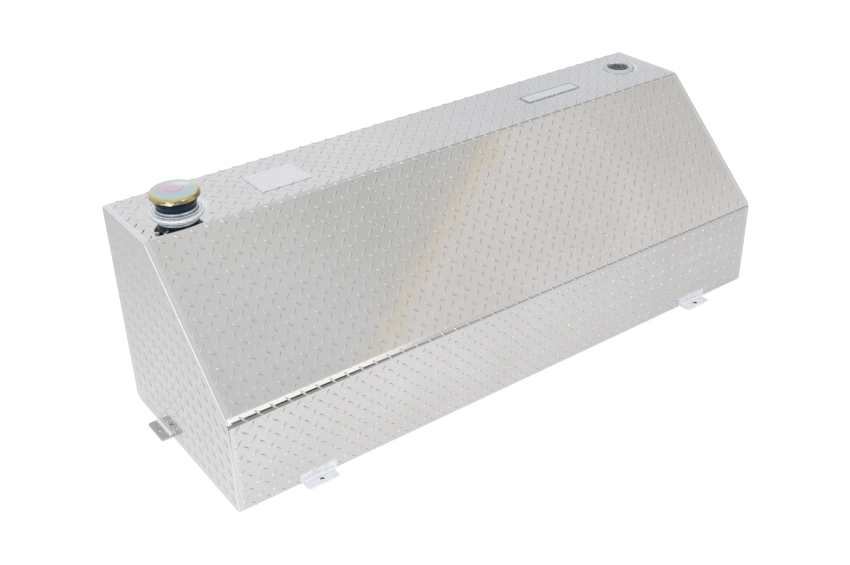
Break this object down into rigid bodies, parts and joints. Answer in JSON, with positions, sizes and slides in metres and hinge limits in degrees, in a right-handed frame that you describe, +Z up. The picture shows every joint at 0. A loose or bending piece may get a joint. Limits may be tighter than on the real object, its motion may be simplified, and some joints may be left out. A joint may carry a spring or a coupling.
{
  "type": "truck bed transfer tank",
  "caption": "Wedge-fronted tread-plate tank for a truck bed, with a bayonet filler cap, an open threaded pump port, inner baffles and bolt-down tabs.",
  "frame": {"origin": "middle of the footprint, on the surface that the mounting tabs stand on", "axes": "+X along the tank's length from the filler end to the pump port end, +Y from the low front to the tall back wall, +Z up"},
  "size_m": [1.577, 0.5346, 0.5631],
  "materials": {
    "tread_plate": "bright rolled tread plate",
    "weld_bead": "brushed weld bead",
    "tab_aluminium": "mill finish",
    "ring_aluminium": "turned",
    "zinc_steel": "clear zinc plate",
    "yellow_zinc": "iridescent yellow zinc plate",
    "black_nylon": "gloss moulded",
    "black_rubber": "matt",
    "spring_steel": "bright",
    "blank_plate": "satin with a thin dark border",
    "white_label": "white film"
  },
  "bodies": {
    "tank": {"wrapper_sheet": "tread_plate", "left_end_panel": "tread_plate", "right_end_panel": "tread_plate", "left_baffle": "tread_plate", "right_baffle": "tread_plate", "seam_weld": "weld_bead", "left_end_weld": "weld_bead", "right_end_weld": "weld_bead", "filler_ring": "ring_aluminium", "filler_weld": "weld_bead", "filler_neck": "black_nylon", "pump_port_bung": "zinc_steel", "port_weld": "weld_bead", "front_left_tab": "tab_aluminium", "front_right_tab": "tab_aluminium", "left_end_tab": "tab_aluminium", "right_end_tab": "tab_aluminium", "front_left_tab_weld": "weld_bead", "front_right_tab_weld": "weld_bead", "left_end_tab_weld": "weld_bead", "right_end_tab_weld": "weld_bead", "blank_plate": "blank_plate", "blank_label": "white_label"},
    "cap": {"cap_shell": "yellow_zinc", "cap_gasket": "black_rubber", "cap_lock_plate": "spring_steel", "vent_cup": "spring_steel", "vent_spring": "spring_steel"},
    "vent": {"vent_valve": "spring_steel"}
  },
  "joints": [
    {"name": "cap_turn", "type": "hinge", "parent": "tank", "child": "cap", "pos_m": [-0.647, 0.13775, 0.5515], "axis": [0, 0, 1], "range_deg": [0, 90]},
    {"name": "vent_open", "type": "slide", "parent": "cap", "child": "vent", "axis": [0, 0, -1], "range_m": [0, 0.0015], "stiffness_N_per_m": 60, "springref_m": -0.008, "deforming": ["vent_spring"]}
  ]
}
